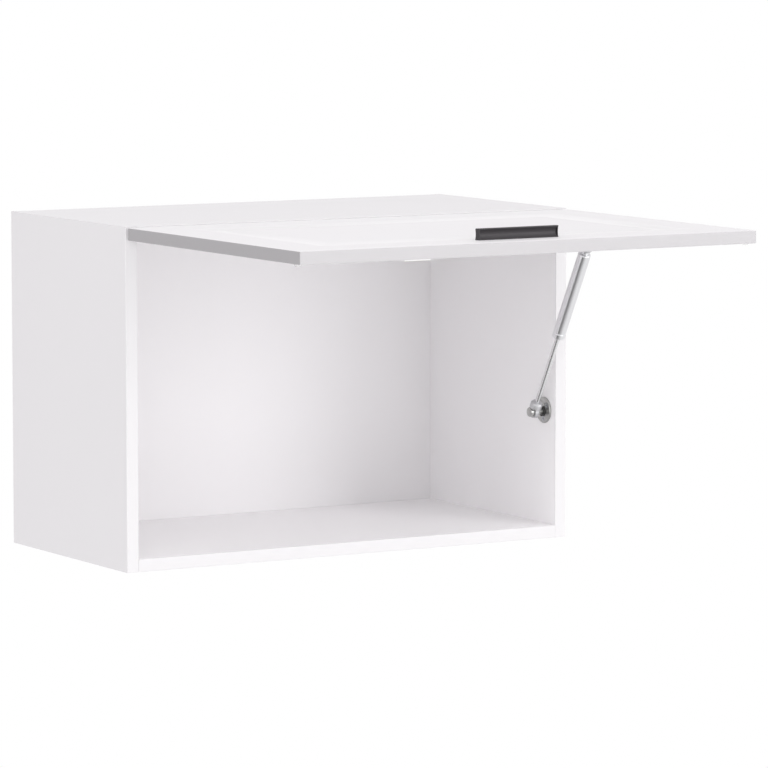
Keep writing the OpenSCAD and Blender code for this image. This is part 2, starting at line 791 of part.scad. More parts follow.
// Drawn steel cylinder with a round shoulder, a neck with its stud, and a groove rolled in over
// the guide
module strut_cylinder() {
    r = tube_d / 2;
    end_wall = 5;
    shoulder = 2.2;
    mouth_r = 0.6;
    groove_r = 1;
    groove_depth = 0.5;
    top = tube_len - run_gap;
    color("silver") on_strut(tube_start) difference() {
        rotate_extrude() {
            translate([0, mouth_r]) square([r, top - shoulder - mouth_r]);
            square([r - mouth_r, mouth_r + over]);
            square([r - shoulder, top]);
            translate([r - mouth_r, mouth_r]) circle(mouth_r);
            translate([r - shoulder, top - shoulder]) circle(shoulder);
            square([end_neck_d / 2, top + end_neck]);
            square([end_stud_d / 2, top + end_neck + socket_grip]);
        }
        translate([0, 0, -over]) cylinder(d = tube_bore_d, h = tube_len - end_wall + over);
        rotate_extrude() translate([r - groove_depth + groove_r, guide_len - groove_at])
            circle(groove_r);
    }
}

// Bush in the cylinder's mouth; the rod slides through it
module strut_rod_guide() {
    r = tube_bore_d / 2;
    lip = 1.2;
    color("dimgray") on_strut(tube_start) difference() {
        rotate_extrude() polygon([[0, -lip], [r - 1.4, -lip], [r - 0.6, 0], [r - fit, 0],
            [r - fit, guide_len], [0, guide_len]]);
        translate([0, 0, -lip - over]) cylinder(d = rod_d + 2 * fit, h = guide_len + lip + 2 * over);
    }
}

// Polished rod, from its socket up into the cylinder
module piston_rod() {
    low = socket_reach - socket_grip + run_gap;
    high = piston_at + piston_seat;
    tip = 0.6;
    color("silver") on_strut(0) rotate_extrude()
        polygon([[0, low], [rod_r - tip, low], [rod_r, low + tip], [rod_r, high], [0, high]]);
}

module strut_piston() {
    color("silver") on_strut(piston_at) difference() {
        cylinder(d = tube_bore_d - 2 * fit, h = piston_len);
        translate([0, 0, -over]) cylinder(d = rod_d + 2 * fit, h = piston_seat + run_gap + over);
    }
}

// Socket sleeve with a ball eye; the sleeve grips the rod or the cylinder
module socket(bore_d) {
    shoulder = 1.2;
    mouth_d = ball_d - 1.4;
    difference() {
        union() {
            rotate_extrude() polygon([[0, barrel_from], [socket_d / 2, barrel_from],
                [socket_d / 2, socket_reach - shoulder - 0.7], [socket_d / 2 - shoulder, socket_reach],
                [0, socket_reach]]);
            x_rod(-eye_t / 2, eye_t / 2, 0, 0, socket_d);
            translate([-eye_t / 2, -socket_d / 2 + 1.5, 0]) cube([eye_t, socket_d - 3, barrel_from + 0.5]);
        }
        x_rod(-eye_t, eye_t, 0, 0, mouth_d);
        rotate([0, 90, 0]) sphere(d = ball_d + 2 * fit);
        translate([0, 0, socket_reach - socket_grip]) cylinder(d = bore_d, h = socket_grip + over);
    }
}

module strut_lower_socket() {
    color("silver") on_strut(0) socket(rod_d + 2 * fit);
}

module strut_upper_socket() {
    color("silver") on_strut(strut_len) mirror([0, 0, 1]) socket(end_stud_d + 2 * fit);
}

// A ball on its shank, turned about X; the children add what else is on the stud, drawn with
// X as the radius and Y along the stud
module ball_stud() {
    reach = socket_d + stud_cap_len;
    rotate([0, 90, 0]) rotate_extrude() intersection() {
        union() {
            circle(d = ball_d);
            translate([0, -stud_collar_x - over]) square([stud_shank_d / 2, 2 * (stud_collar_x + over)]);
            children();
        }
        translate([0, -reach]) square([reach, 2 * reach]);
    }
}

// Lower ball stud with its round cap; it faces the foot plate across a small gap
module strut_lower_stud() {
    plate_x = inner_x - foot_plate_t - run_gap - strut_x;
    r = stud_cap_d / 2;
    dome = 1.5;
    cap_end = -stud_collar_x - stud_cap_len;
    color("silver") translate([strut_x, foot[0], foot[1]]) ball_stud() {
        translate([0, stud_collar_x]) square([stud_collar_d / 2, plate_x - stud_collar_x]);
        polygon([[0, cap_end], [r - dome, cap_end], [r, cap_end + dome],
            [r, -stud_collar_x], [0, -stud_collar_x]]);
    }
}

// Places of the two head bracket screws, on the X-Y plane
function head_screw_spots() = [for (k = [-1, 1])
    [ear_x - head_plate_w / 2 - 1, head[0] + k * (head_plate_len / 2 - 6)]];

// Angle bracket on the flap, with an ear for the upper ball
module strut_head_bracket() {
    z0 = door_in_z - head_plate_t;
    color("silver") difference() {
        union() {
            translate([0, 0, z0]) linear_extrude(head_plate_t)
                round_rect(ear_x + ear_t - head_plate_w, ear_x + ear_t, head[0] - head_plate_len / 2,
                           head[0] + head_plate_len / 2, 2);
            translate([ear_x + ear_t / 2, 0, 0]) along_x(ear_t) {
                translate(head) circle(ear_half);
                translate([head[0] - ear_half, head[1]]) square([2 * ear_half, door_in_z - head[1]]);
            }
        }
        x_rod(ear_x - over, ear_x + ear_t + over, head[0], head[1], stud_shank_d + 2 * fit);
        for (p = head_screw_spots())
            translate([p[0], p[1], z0 - over])
                cylinder(d = head_screw_d + 0.4, h = head_plate_t + 2 * over);
    }
}

// Ball stud riveted into the ear
module strut_head_ball() {
    collar_len = ear_x - strut_x - stud_collar_x;
    color("silver") translate([strut_x, head[0], head[1]]) ball_stud() {
        translate([0, stud_collar_x]) square([stud_collar_d / 2, collar_len]);
        translate([0, stud_collar_x]) square([stud_shank_d / 2, collar_len + ear_t]);
    }
}

module strut_head_screws() {
    color("silver") for (p = head_screw_spots())
        translate([p[0], p[1], door_in_z - head_plate_t]) mirror([0, 0, 1])
            pan_screw(head_screw_d, head_screw_len - run_gap, head_screw_head);
}

left_side();
right_side();
top_panel();
bottom_panel();
back_panel();
cam_locks();
cam_bolts();
beech_dowels();
hanger_body_left();
hanger_body_right();
hanger_hook_left();
hanger_hook_right();
hanger_screws();
hinge_plate_left();
hinge_plate_right();
hinge_plate_screws();
hinge_arm_left();
hinge_arm_right();
hinge_arm_screws();
strut_foot_plate();
strut_foot_screws();
flap_door();
handle();
handle_screws();
door_bumpers();
hinge_cup_left();
hinge_cup_right();
hinge_pins();
hinge_cup_screws();
strut_head_bracket();
strut_head_ball();
strut_head_screws();
strut_cylinder();
strut_rod_guide();
strut_upper_socket();
piston_rod();
strut_piston();
strut_lower_socket();
strut_lower_stud();
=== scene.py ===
import json
import math

import bmesh
import bpy
from mathutils import Matrix, Vector

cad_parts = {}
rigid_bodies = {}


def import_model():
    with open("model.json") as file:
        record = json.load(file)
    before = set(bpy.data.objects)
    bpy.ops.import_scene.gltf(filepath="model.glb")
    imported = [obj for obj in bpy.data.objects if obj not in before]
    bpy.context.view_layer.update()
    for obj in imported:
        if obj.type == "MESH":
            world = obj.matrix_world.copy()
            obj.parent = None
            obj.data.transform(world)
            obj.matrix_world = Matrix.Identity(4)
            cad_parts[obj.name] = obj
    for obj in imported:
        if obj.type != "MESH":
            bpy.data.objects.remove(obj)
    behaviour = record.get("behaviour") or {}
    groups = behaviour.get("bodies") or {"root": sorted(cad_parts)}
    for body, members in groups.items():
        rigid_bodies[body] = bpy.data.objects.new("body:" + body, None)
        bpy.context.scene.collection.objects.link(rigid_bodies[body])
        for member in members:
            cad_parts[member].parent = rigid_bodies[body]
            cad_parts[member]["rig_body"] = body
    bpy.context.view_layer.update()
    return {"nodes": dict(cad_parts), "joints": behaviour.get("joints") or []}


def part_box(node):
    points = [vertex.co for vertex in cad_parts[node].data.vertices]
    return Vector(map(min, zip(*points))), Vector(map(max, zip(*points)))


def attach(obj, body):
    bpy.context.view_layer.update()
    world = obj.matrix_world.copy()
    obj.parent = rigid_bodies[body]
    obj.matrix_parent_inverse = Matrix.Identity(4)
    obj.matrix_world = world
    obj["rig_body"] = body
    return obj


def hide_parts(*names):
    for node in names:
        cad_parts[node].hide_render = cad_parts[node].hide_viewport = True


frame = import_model()
nodes = frame["nodes"]


# Carcass
# Two sides, a top and a bottom of 15 mm chipboard, faced on both sides with white melamine and
# banded along the front. The sides run the full height; the top and bottom butt between them.
# The saws that size the boards leave the sides' rear edges as bare chips.
# One white melamine in three tones: inside the cabinet it is painted lighter than outside, and on
# the shelf lighter still, as painted light
OUTER_WHITE = (0.687, 0.669, 0.687, 1)
INNER_LIT_WHITE = (0.93, 0.915, 0.928, 1)
SHELF_LIT_WHITE = (0.98, 0.965, 0.975, 1)
BAND_WHITE = (0.735, 0.721, 0.735, 1)
CHIP_PALE = (0.60, 0.44, 0.27, 1)
CHIP_DARK = (0.30, 0.19, 0.10, 1)
CHIP_SIZE = 0.0022
CLUMP_SIZE = 0.0066
PEARL_SIZE = 0.0009
CLOUD_SIZE = 0.12
BAND_THICK = 0.0009
BAND_ROUND = 0.0007
SAWN_SKIN = 0.0002
CLOUDING = 0.06
FACE_ROUGH = 0.48
CHIP_ROUGHER = 0.35
BAND_SMOOTHER = 0.1
CHIP_HIGHER = 3
# Points nearer to each other than this are merged
MERGE = 0.00001
# A point this near to a plane counts as on it
ON_PLANE = 0.0001
# Up to these angles faces count as one flat, one smooth surface and one rounding
FLAT_ANGLE = math.radians(0.5)
SMOOTH_ANGLE = math.radians(35)
ROUNDING_ANGLE = math.radians(60)
# Only edges sharper than this are eased
SHARP_ANGLE = math.radians(40)
front_edge_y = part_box("left_side")[0].y + BAND_THICK
rear_edge_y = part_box("left_side")[1].y - SAWN_SKIN
inner_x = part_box("top_panel")[1].x + ON_PLANE
inner_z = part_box("top_panel")[0].z + ON_PLANE
shelf_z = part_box("bottom_panel")[1].z


class Wire:
    """A socket of a material; Python's operators on it stand for Math nodes"""

    def __init__(self, tree, socket):
        self.tree = tree
        self.socket = socket

    def add(self, kind, settings=(), sockets=(), out=0):
        """Adds a node: its settings first, then the values or links of its sockets"""
        node = self.tree.nodes.new("ShaderNode" + kind)
        for name, value in dict(settings).items():
            setattr(node, name, value)
        for name, value in dict(sockets).items():
            if isinstance(value, Wire):
                self.tree.links.new(value.socket, node.inputs[name])
            else:
                node.inputs[name].default_value = value
        return Wire(self.tree, node.outputs[out])

    def maths(self, operation, *values):
        """A Math node on these sockets and numbers"""
        return self.add("Math", {"operation": operation}, enumerate(values))

    def __add__(self, other):
        return self.maths("ADD", self, other)

    def __sub__(self, other):
        return self.maths("SUBTRACT", self, other)

    def __mul__(self, other):
        return self.maths("MULTIPLY", self, other)

    def __lt__(self, other):
        return self.maths("LESS_THAN", self, other)

    def __gt__(self, other):
        return self.maths("GREATER_THAN", self, other)

    def __abs__(self):
        return self.maths("ABSOLUTE", self)

    def __rsub__(self, other):
        return self.maths("SUBTRACT", other, self)

    __radd__ = __add__
    __rmul__ = __mul__

    def axes(self):
        """The three numbers of a vector"""
        split = self.add("SeparateXYZ", (), {0: self})
        return [Wire(self.tree, socket) for socket in split.socket.node.outputs]

    def stretched(self, x=1, y=1, z=1, turn=(0, 0, 0)):
        """The same place on a pattern that is drawn out or turned"""
        return self.add("Mapping", (), {"Vector": self, "Scale": (x, y, z), "Rotation": turn})

    def noise(self, size, detail=2.0, rough=0.5):
        """Soft random marks of about this size in metres, from 0 to 1"""
        return self.add(
            "TexNoise", (), {"Vector": self, "Scale": 1 / size, "Detail": detail, "Roughness": rough}
        )

    def cells(self, size, out="Distance"):
        """Random cells of about this size in metres"""
        return self.add("TexVoronoi", (), {"Vector": self, "Scale": 1 / size}, out)

    def ramp(self, low, high, to_low=0.0, to_high=1.0):
        """Runs from to_low to to_high as this socket goes from low to high"""
        return self.add(
            "MapRange", (), {"Value": self, "From Min": low, "From Max": high,
                             "To Min": to_low, "To Max": to_high}
        )

    def between(self, low, high):
        """One number where this socket is 0, the other where it is 1"""
        return self * (high - low) + low

    def colour(self, low, high):
        """One colour where this socket is 0, the other where it is 1"""
        return self.add("Mix", {"data_type": "RGBA"}, {0: self, 6: low, 7: high}, 2)


class Finish:
    """A Principled material: constants go on the shader's own sockets, what varies is linked"""

    def __init__(self, name, **constants):
        self.material = bpy.data.materials.new(name)
        self.material.use_nodes = True
        tree = self.material.node_tree
        self.shader = tree.nodes["Principled BSDF"]
        self.place = Wire(tree, tree.nodes.new("ShaderNodeTexCoord").outputs["Object"])
        for socket, value in constants.items():
            self.shader.inputs[socket.replace("_", " ")].default_value = value

    def feed(self, socket, wire):
        """Links what varies over the surface to a socket of the shader"""
        self.place.tree.links.new(wire.socket, self.shader.inputs[socket])

    def relief(self, height, depth):
        """Bump of this depth in metres"""
        bump = self.place.add("Bump", (), {"Height": height, "Distance": depth})
        self.feed("Normal", bump)

    def dress(self, node):
        """Puts this finish on a node's own mesh"""
        nodes[node].material_slots[0].material = self.material


def finished(name, shape, finish, node=None, body=None, rounding=()):
    """Makes a piece from a bmesh. It stands for a node, where one is named, and rides with it.
    Faces meet softly up to an angle, and inside a rounding, but never across a rounding's rim"""
    rounding = set(rounding)
    for face in shape.faces:
        face.smooth = True
    for edge in shape.edges:
        in_rounding = [face in rounding for face in edge.link_faces]
        limit = SMOOTH_ANGLE
        if any(in_rounding):
            limit = ROUNDING_ANGLE if all(in_rounding) else 0
        edge.smooth = len(in_rounding) == 2 and edge.calc_face_angle(math.pi) < limit
    mesh = bpy.data.meshes.new(name)
    shape.to_mesh(mesh)
    shape.free()
    mesh.materials.append(finish.material)
    piece = bpy.data.objects.new(name, mesh)
    bpy.context.scene.collection.objects.link(piece)
    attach(piece, body or nodes[node]["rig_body"])
    if node:
        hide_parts(node)


def copied(node):
    """A bmesh of a node's own mesh, its triangles merged into whole faces"""
    shape = bmesh.new()
    shape.from_mesh(nodes[node].data)
    bmesh.ops.remove_doubles(shape, verts=shape.verts, dist=MERGE)
    bmesh.ops.dissolve_limit(shape, angle_limit=FLAT_ANGLE, verts=shape.verts, edges=shape.edges)
    return shape


def rounded(shape, edges, width, segments):
    """Rounds these edges and gives the rounding's faces"""
    return bmesh.ops.bevel(
        shape, geom=edges, offset=width, offset_type="OFFSET", affect="EDGES", segments=segments,
        profile=0.5, material=-1, clamp_overlap=True,
    )["faces"]


def eased(node, finish, width, axes=None, segments=1, reshaped=None):
    """A node's mesh with its sharp edges eased. Where axes are named, only the edges that run
    along them on the outside of the node's box are eased. A function may reshape it first"""
    shape = copied(node)
    soft = reshaped(shape) if reshaped else []
    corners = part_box(node)

    def sides(vert):
        return {(axis, end) for axis in range(3) for end in range(2)
                if abs(vert.co[axis] - corners[end][axis]) < ON_PLANE}

    def picked(edge):
        if not edge.is_manifold or edge.calc_face_angle() < SHARP_ANGLE:
            return False
        if axes is None:
            return True
        shared = sides(edge.verts[0]) & sides(edge.verts[1])
        run = edge.verts[0].co - edge.verts[1].co
        longest = max(range(3), key=lambda axis: abs(run[axis]))
        return len(shared) == 2 and "xyz"[longest] in axes

    faces = rounded(shape, [edge for edge in shape.edges if picked(edge)], width, segments)
    faces += [face for face in soft if face.is_valid]
    finished(node + "_piece", shape, finish, node, rounding=faces)


def chipboard(place):
    """Colour of cut chipboard: glued chips that lie along the board, darker between them"""
    along = place.stretched(x=0.7, y=0.7, z=0.35)
    dark = along.noise(CLUMP_SIZE, detail=3) * 0.6 + along.cells(CHIP_SIZE) * 0.7
    return dark.colour(CHIP_PALE, CHIP_DARK)


melamine = Finish("melamine_board", IOR=1.45)
x, y, z = melamine.place.axes()
cloud = melamine.place.noise(CLOUD_SIZE, detail=1) - 0.5
bare = y > rear_edge_y
banded = y < front_edge_y
inside = (abs(x) < inner_x) * (abs(z) < inner_z)
shelf = abs(z - shelf_z) < ON_PLANE
# Painted light: the inside faces and the shelf's top take lighter copies of the outer white
painted_light_lining = shelf.colour(INNER_LIT_WHITE, SHELF_LIT_WHITE)
face = banded.colour(inside.colour(OUTER_WHITE, painted_light_lining), BAND_WHITE)
melamine.feed("Base Color", bare.colour(face, chipboard(melamine.place)))
roughness = bare * CHIP_ROUGHER + cloud * CLOUDING + FACE_ROUGH - banded * BAND_SMOOTHER
melamine.feed("Roughness", roughness)
pearl = melamine.place.noise(PEARL_SIZE, detail=1)
chips = melamine.place.cells(CHIP_SIZE)
melamine.relief(pearl + bare * chips * CHIP_HIGHER, depth=0.00004)
for board in ("left_side", "right_side"):
    eased(board, melamine, BAND_ROUND, axes="z", segments=3)
for board in ("top_panel", "bottom_panel"):
    eased(board, melamine, BAND_ROUND, axes="x", segments=3)


# Back panel
# A 3 mm fibreboard sheet slid into the sides' rebates, painted white on both faces. The spray
# covers its sawn edges, which show in the two hanger notches, with a thinner, warmer coat.
BACK_WHITE = (0.88, 0.864, 0.878, 1)
FIBRE_WARM = (0.74, 0.70, 0.64, 1)
FIBRE_PALE = (0.90, 0.88, 0.86, 1)
FIBRE_SIZE = 0.0016
NOTCH_WIDE = 0.0455
NOTCH_DOWN = 0.068
notch_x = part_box("back_panel")[1].x - NOTCH_WIDE
notch_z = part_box("top_panel")[0].z - NOTCH_DOWN

painted = Finish("painted_fibreboard", IOR=1.45)
fibres = painted.place.stretched(x=0.25).noise(FIBRE_SIZE, detail=3, rough=0.6)
x, y, z = painted.place.axes()
sawn = (abs(x) > notch_x) * (abs(z - notch_z) < SAWN_SKIN)
painted.feed("Base Color", sawn.colour(BACK_WHITE, fibres.colour(FIBRE_WARM, FIBRE_PALE)))
painted.feed("Roughness", fibres.between(0.5, 0.62))
painted.relief(fibres, depth=0.00003)
painted.dress("back_panel")


# Connectors
# Eight zinc cams draw eight steel bolts into the sides, and eight beech dowels keep the joints
# in line. The cams are die-cast and turned with a screwdriver; the dowels are fluted beech.
BEECH_PALE = (0.72, 0.52, 0.32, 1)
BEECH_DARK = (0.50, 0.32, 0.17, 1)
ZINC = (0.62, 0.63, 0.65, 1)
ZINC_DULL = (0.48, 0.49, 0.51, 1)
SPANGLE_SIZE = 0.0012
GRAIN_SIZE = 0.0012
PORE_SIZE = 0.0007
CAM_EASE = 0.0003
SCREW_EASE = 0.0002

zinc = Finish("zinc_plating", Metallic=1.0)
spangle = zinc.place.cells(SPANGLE_SIZE, out="Color").axes()[0]
zinc.feed("Base Color", spangle.colour(ZINC_DULL, ZINC))
zinc.feed("Roughness", zinc.place.noise(size=0.003).between(0.25, 0.45))
zinc.relief(zinc.place.noise(size=0.0004), depth=0.00001)
eased("cam_locks", zinc, CAM_EASE)
eased("cam_bolts", zinc, SCREW_EASE)

beech = Finish("beech", Roughness=0.6)
grain = beech.place.stretched(x=0.06).noise(GRAIN_SIZE, detail=3, rough=0.6)
pores = beech.place.stretched(x=0.12).cells(PORE_SIZE)
beech.feed("Base Color", (grain * 0.8 + pores * 0.3).colour(BEECH_PALE, BEECH_DARK))
beech.relief(grain, depth=0.00008)
beech.dress("beech_dowels")


# Wall hangers
# A white moulded body, pegged into each side, holds a pressed steel hook for the wall rail and
# the two screws that raise the cabinet and draw it to the wall.
HANGER_WHITE = (0.82, 0.81, 0.79, 1)
HANGER_CREAM = (0.78, 0.77, 0.74, 1)
MOULDED_ROUND = 0.0008
HOOK_EASE = 0.0003

moulding = Finish("hanger_moulding", IOR=1.49)
moulding.feed("Base Color", moulding.place.noise(size=0.02).colour(HANGER_WHITE, HANGER_CREAM))
moulding.feed("Roughness", moulding.place.noise(size=0.0006).between(0.4, 0.55))
moulding.relief(moulding.place.noise(size=0.0005), depth=0.00003)
for side in ("left", "right"):
    eased("hanger_body_" + side, moulding, MOULDED_ROUND, segments=2)
    eased("hanger_hook_" + side, zinc, HOOK_EASE, segments=2)
eased("hanger_screws", zinc, SCREW_EASE)


# Hinges
# Two concealed hinges of nickel-plated steel: a plate screwed under the top panel, a hooked arm
# clamped on it, and a pressed cup let into the flap, whose pin carries the arm.
NICKEL = (0.66, 0.64, 0.61, 1)
NICKEL_DULL = (0.55, 0.53, 0.50, 1)
DRAWN_SIZE = 0.0008
PRESSED_EASE = 0.0004
CUP_EASE = 0.0003

nickel = Finish("nickel_plating", Metallic=1.0)
drawn = nickel.place.stretched(y=0.08).noise(DRAWN_SIZE)
nickel.feed("Base Color", drawn.colour(NICKEL_DULL, NICKEL))
nickel.feed("Roughness", drawn.between(0.22, 0.34))
nickel.relief(drawn, depth=0.00001)
for side in ("left", "right"):
    eased("hinge_plate_" + side, nickel, PRESSED_EASE, segments=2)
    eased("hinge_arm_" + side, nickel, PRESSED_EASE, segments=2)
    eased("hinge_cup_" + side, nickel, CUP_EASE, segments=2)
for screws in ("hinge_plate_screws", "hinge_arm_screws", "hinge_cup_screws", "hinge_pins"):
    eased(screws, nickel, SCREW_EASE)


# Flap
# A 15 mm fibreboard front, wrapped in satin white foil after a cove is milled round its face.
# The foil sinks softly into the cove and is stretched glossy there, and a painted highlight makes it
# paler along the cove. The free edge is a painted shade darker, and the ends are dark grey.
FOIL_WHITE = (0.735, 0.717, 0.735, 1)
FREE_EDGE_SHADE = (0.55, 0.536, 0.55, 1)
END_GREY = (0.355, 0.342, 0.355, 1)
# A paler white along the cove: a painted highlight
COVE_HIGHLIGHT = (0.765, 0.746, 0.765, 1)
COVE_GLOSS = 0.9
PEEL_SIZE = 0.004
FOIL_ROUND = 0.0008
# How far the ends' dark grey, the free edge's painted shade and the face reach into the board
END_DEEP = 0.0004
FREE_DEEP = 0.0005
FACE_DEEP = 0.004
# The cove's middle line lies this far inside the flap's edges. The cutter takes a narrow cove, the
# foil lies softly over it, and the painted highlight along it reaches a little further outwards.
COVE_IN = 0.076
COVE_CUT = 0.008
COVE_HALF = 0.018
COVE_DEEP = 0.0024
HIGHLIGHT_HALF = 0.022
HIGHLIGHT_OUT = 0.003
door_low, door_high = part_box("flap_door")
door_mid = (door_low + door_high) / 2
cove_x = door_high.x - COVE_IN
cove_y = door_high.y - door_mid.y - COVE_IN

foil = Finish("satin_foil", IOR=1.47, Specular_IOR_Level=0.25, Coat_Roughness=0.3)
x, y, z = foil.place.axes()
end_strip = abs(x) > door_high.x - END_DEEP
# Painted shade: the free edge takes a darker copy of the foil's white
shaded_free_edge = y < door_low.y + FREE_DEEP
beyond_x = abs(x) - cove_x
across = beyond_x.maths("MAXIMUM", beyond_x, abs(y - door_mid.y) - cove_y)
# This band paints a highlight, the foil paler along the cove; it also sets where the glossy coat
# lies
cove = abs(across - HIGHLIGHT_OUT).ramp(HIGHLIGHT_HALF, 0) * (z > door_high.z - FACE_DEEP)
skin = shaded_free_edge.colour(cove.colour(FOIL_WHITE, COVE_HIGHLIGHT), FREE_EDGE_SHADE)
foil.feed("Base Color", end_strip.colour(skin, END_GREY))
foil.feed("Coat Weight", cove * COVE_GLOSS)
peel = foil.place.noise(PEEL_SIZE, detail=1)
foil.feed("Roughness", peel.between(0.45, 0.51))
foil.relief(peel, depth=0.00002)


def on_mitre(vert):
    """How far a point on the cut cove's mitres lies outside the cove's middle line, else None"""
    out = [abs(vert.co.x) - cove_x, abs(vert.co.y - door_mid.y) - cove_y]
    mitred = abs(out[0] - out[1]) < ON_PLANE and abs(out[0]) < COVE_CUT + ON_PLANE
    return out[0] if mitred and vert.co.z > door_high.z - FACE_DEEP else None


def foil_cove(shape):
    """Spreads the cut cove into the soft one that the foil takes, and gives its faces"""
    mitres = [edge for edge in shape.edges if edge.calc_length() < COVE_CUT
              and None not in [on_mitre(vert) for vert in edge.verts]]
    bmesh.ops.subdivide_edges(shape, edges=mitres, cuts=2, use_grid_fill=True)
    moved = {vert: on_mitre(vert) for vert in shape.verts if on_mitre(vert) is not None}
    for vert, out in moved.items():
        wide = out * COVE_HALF / COVE_CUT
        vert.co.x += (wide - out) * math.copysign(1, vert.co.x)
        vert.co.y += (wide - out) * math.copysign(1, vert.co.y - door_mid.y)
        vert.co.z = door_high.z - COVE_DEEP * (1 + math.cos(math.pi * wide / COVE_HALF)) / 2
    return [face for face in shape.faces if set(moved).issuperset(face.verts)
            and min(vert.co.z for vert in face.verts) < door_high.z - ON_PLANE / 2]


eased("flap_door", foil, FOIL_ROUND, axes="xyz", segments=3, reshaped=foil_cove)


# Pull
# A bar of anthracite aluminium, scooped along its grip side for the fingertips and drawn in at
# both ends, held by two screws from inside the flap.
PULL_DARK = (0.028, 0.0258, 0.028, 1)
PULL_LIGHT = (0.062, 0.057, 0.062, 1)
STREAK_SIZE = 0.0012
PULL_EASE = 0.0004

brushed = Finish("anthracite_pull", Metallic=0.6)
streaks = brushed.place.stretched(x=0.03).noise(STREAK_SIZE, detail=3, rough=0.6)
brushed.feed("Base Color", streaks.colour(PULL_DARK, PULL_LIGHT))
brushed.feed("Roughness", streaks.between(0.42, 0.57))
brushed.relief(streaks, depth=0.00002)
eased("handle", brushed, PULL_EASE, segments=3)
eased("handle_screws", zinc, SCREW_EASE)


# Bumpers
# Soft dots of clear moulded plastic, stuck on the flap's inner face where it meets the sides'
# front edges, so that it closes quietly.
DOT_CLEAR = (0.96, 0.96, 0.95, 1)
DOT_MILKY = (0.88, 0.88, 0.87, 1)

soft_dot = Finish("soft_dot", IOR=1.4)
milky = soft_dot.place.noise(size=0.003)
soft_dot.feed("Base Color", milky.colour(DOT_CLEAR, DOT_MILKY))
soft_dot.feed("Roughness", soft_dot.place.noise(size=0.001).between(0.2, 0.3))
soft_dot.feed("Alpha", milky.between(0.2, 0.4))
soft_dot.dress("door_bumpers")


# Strut cylinder and rod
# A satin-chromed steel cylinder, drawn and rolled in over a black moulded guide, and a ground and
# hard-chromed rod with its piston. The strut leans from its foot in the cabinet to the flap.
CHROME = (0.84, 0.84, 0.85, 1)
CHROME_DULL = (0.70, 0.70, 0.72, 1)
ROD_CHROME = (0.78, 0.78, 0.79, 1)
ROD_DULL = (0.72, 0.72, 0.73, 1)
GUIDE_BLACK = (0.03, 0.03, 0.03, 1)
GUIDE_GREY = (0.06, 0.06, 0.06, 1)
POLISH_SIZE = 0.0007
TURNED_STEPS = 72
# From the upper ball's middle down to the cylinder's lower end
TUBE_REACH = 0.138
# Radius, height along the strut and easing of each ring, in millimetres
TUBE_RINGS = [
    (0, 130.2, 0), (2.5, 130.2, 0.5), (2.5, 123.7, 0), (4.5, 123.7, 0.5), (4.5, 119.7, 0.4),
    (7.75, 119.7, 2.0), (7.75, 8.0, 0.3), (7.2, 7.0, 0.3), (7.75, 6.0, 0.3), (7.75, 0, 0.5),
    (6.75, 0, 0), (6.75, 115, 0), (0, 115, 0),
]
GUIDE_RINGS = [(3.05, -1.2, 0.2), (5.3, -1.2, 0.5), (6.7, 0, 0), (6.7, 11, 0), (3.05, 11, 0)]
ROD_RINGS = [(0, 7.8, 0), (3, 7.8, 0.5), (3, 125.5, 0.5), (0, 125.5, 0)]
# An easing wider than this is cut in more steps
WIDE_EASING = 1
MM_PER_M = 1000
joints = {joint["name"]: joint for joint in frame["joints"]}
strut_top = Vector(joints["strut_upper_pivot"]["pos_m"])
stud_low, stud_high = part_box("strut_lower_stud")
strut_foot = (stud_low + stud_high) / 2
strut_foot.x = strut_top.x
rise = strut_top - strut_foot
strut_lean = math.atan2(-rise.y, rise.z)
along_strut = Matrix.Translation(strut_foot) @ Matrix.Rotation(strut_lean, 4, "X")
tube_place = along_strut @ Matrix.Translation((0, 0, rise.length - TUBE_REACH))


def turned(name, rings, place, finish, node=None, body=None, closed=False):
    """A piece turned about Z from its rings, each eased by its own radius, then put in place"""
    shape = bmesh.new()
    outline = [shape.verts.new((radius / MM_PER_M, 0, height / MM_PER_M))
               for radius, height, _ in rings]
    for low, high in zip(outline, outline[1:] + outline[:1] if closed else outline[1:]):
        shape.edges.new((low, high))
    bmesh.ops.spin(
        shape, geom=shape.verts[:] + shape.edges[:], cent=(0, 0, 0), axis=(0, 0, 1),
        angle=math.tau, steps=TURNED_STEPS, use_merge=True,
    )
    bmesh.ops.remove_doubles(shape, verts=shape.verts, dist=MERGE)
    bmesh.ops.recalc_face_normals(shape, faces=shape.faces)
    faces = []
    for radius, height, easing in rings:
        if not easing:
            continue
        on_ring = {vert for vert in shape.verts
                   if abs(vert.co.xy.length - radius / MM_PER_M) < MERGE
                   and abs(vert.co.z - height / MM_PER_M) < MERGE}
        edges = [edge for edge in shape.edges if on_ring.issuperset(edge.verts)]
        segments = 4 if easing > WIDE_EASING else 2
        faces += rounded(shape, edges, easing / MM_PER_M, segments)
    bmesh.ops.transform(shape, matrix=place, verts=shape.verts)
    faces = [face for face in faces if face.is_valid]
    finished(name, shape, finish, node, body, faces)


chrome = Finish("satin_chrome", Metallic=1.0)
polish = chrome.place.stretched(z=0.05, turn=(-strut_lean, 0, 0)).noise(POLISH_SIZE)
chrome.feed("Base Color", polish.colour(CHROME_DULL, CHROME))
chrome.feed("Roughness", polish.between(0.27, 0.37))
chrome.relief(polish, depth=0.000008)
turned("strut_tube_drawn", TUBE_RINGS, tube_place, chrome, "strut_cylinder")

rod = Finish("hard_chrome", Metallic=1.0)
rod_marks = rod.place.noise(size=0.004)
rod.feed("Base Color", rod_marks.colour(ROD_DULL, ROD_CHROME))
rod.feed("Roughness", rod_marks.between(0.22, 0.28))
turned("piston_rod_ground", ROD_RINGS, along_strut, rod, "piston_rod")
rod.dress("strut_piston")

